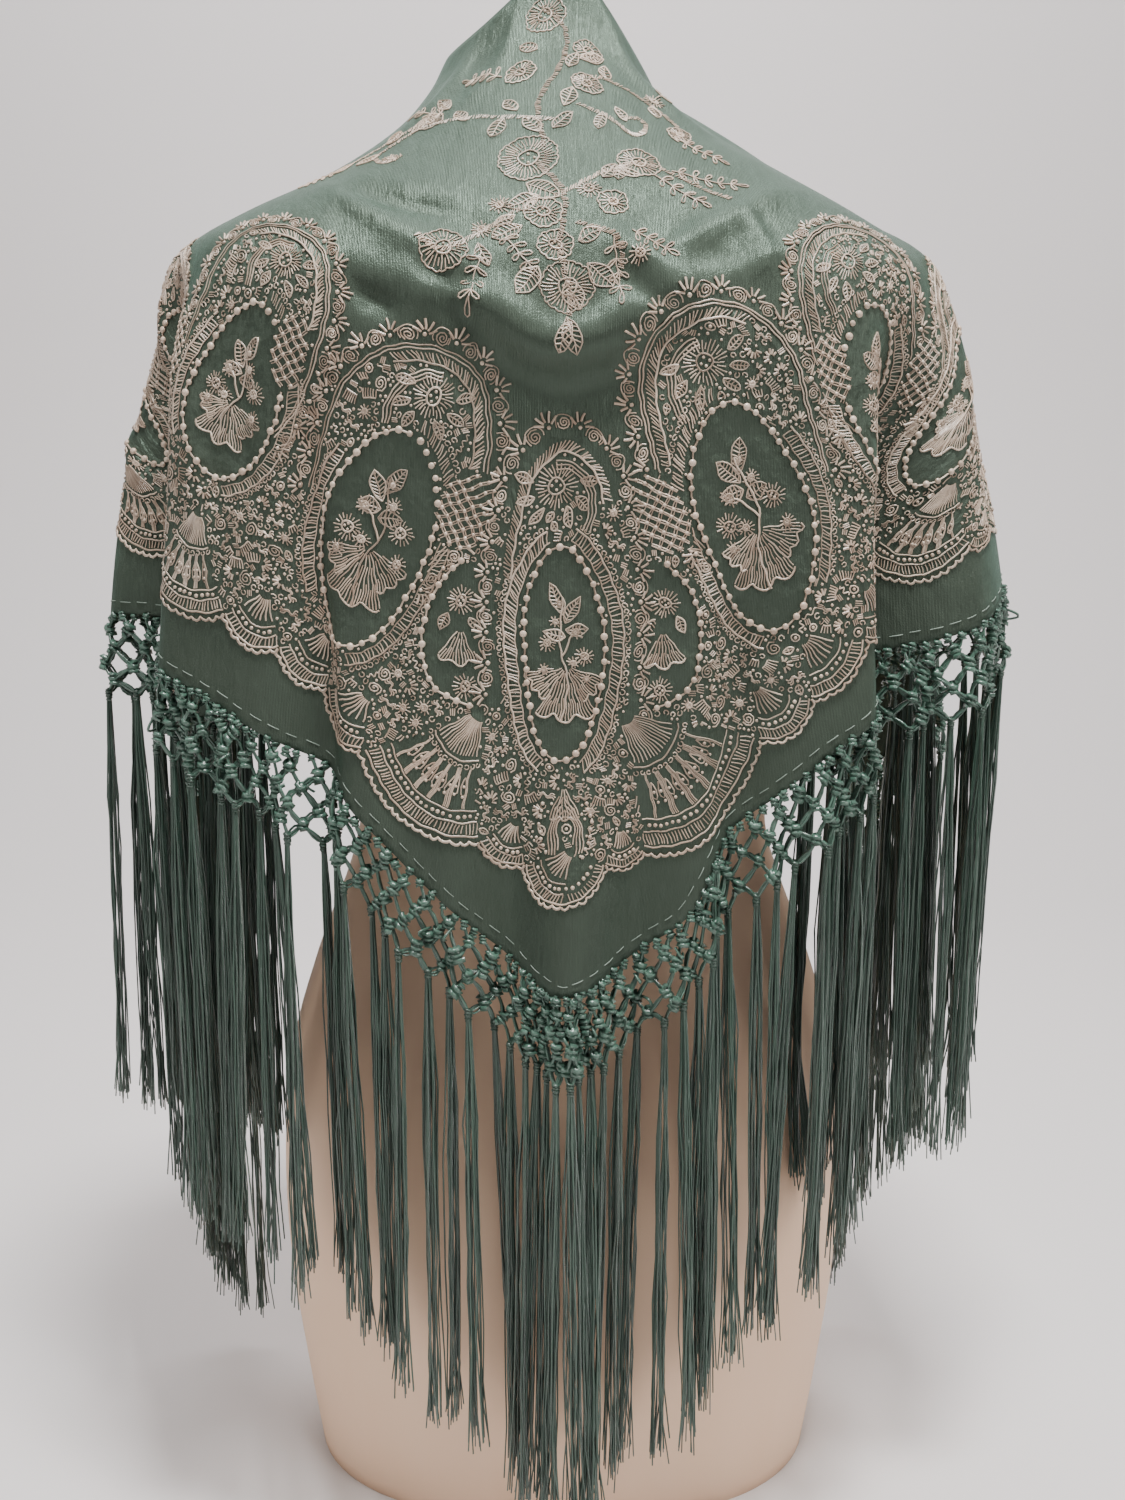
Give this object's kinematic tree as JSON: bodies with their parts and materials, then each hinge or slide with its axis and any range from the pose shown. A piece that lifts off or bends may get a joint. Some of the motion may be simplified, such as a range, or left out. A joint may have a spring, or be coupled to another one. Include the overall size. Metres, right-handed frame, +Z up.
{
  "type": "fringed flamenco shawl on a dress form",
  "caption": "Triangular silk flamenco shawl with a knotted net and long tassels, draped round the neck and shoulders of a limbless dress form that stands on its flat base.",
  "frame": {"origin": "centre of the dress form's flat base, on the surface that it stands on", "axes": "+Z up, -Y towards the back of the shawl with its hanging corner, +X to the right of someone who looks at the back"},
  "size_m": [0.4851, 0.2828, 0.8333],
  "materials": {
    "satin": "sage green silk satin with a soft sheen",
    "silk_cord": "knotted and hanging silk thread",
    "form_shell": "matte peach"
  },
  "bodies": {
    "root": {"dress_form": "form_shell", "silk_panel": "satin", "fringe_left": "silk_cord", "fringe_right": "silk_cord"}
  },
  "joints": []
}
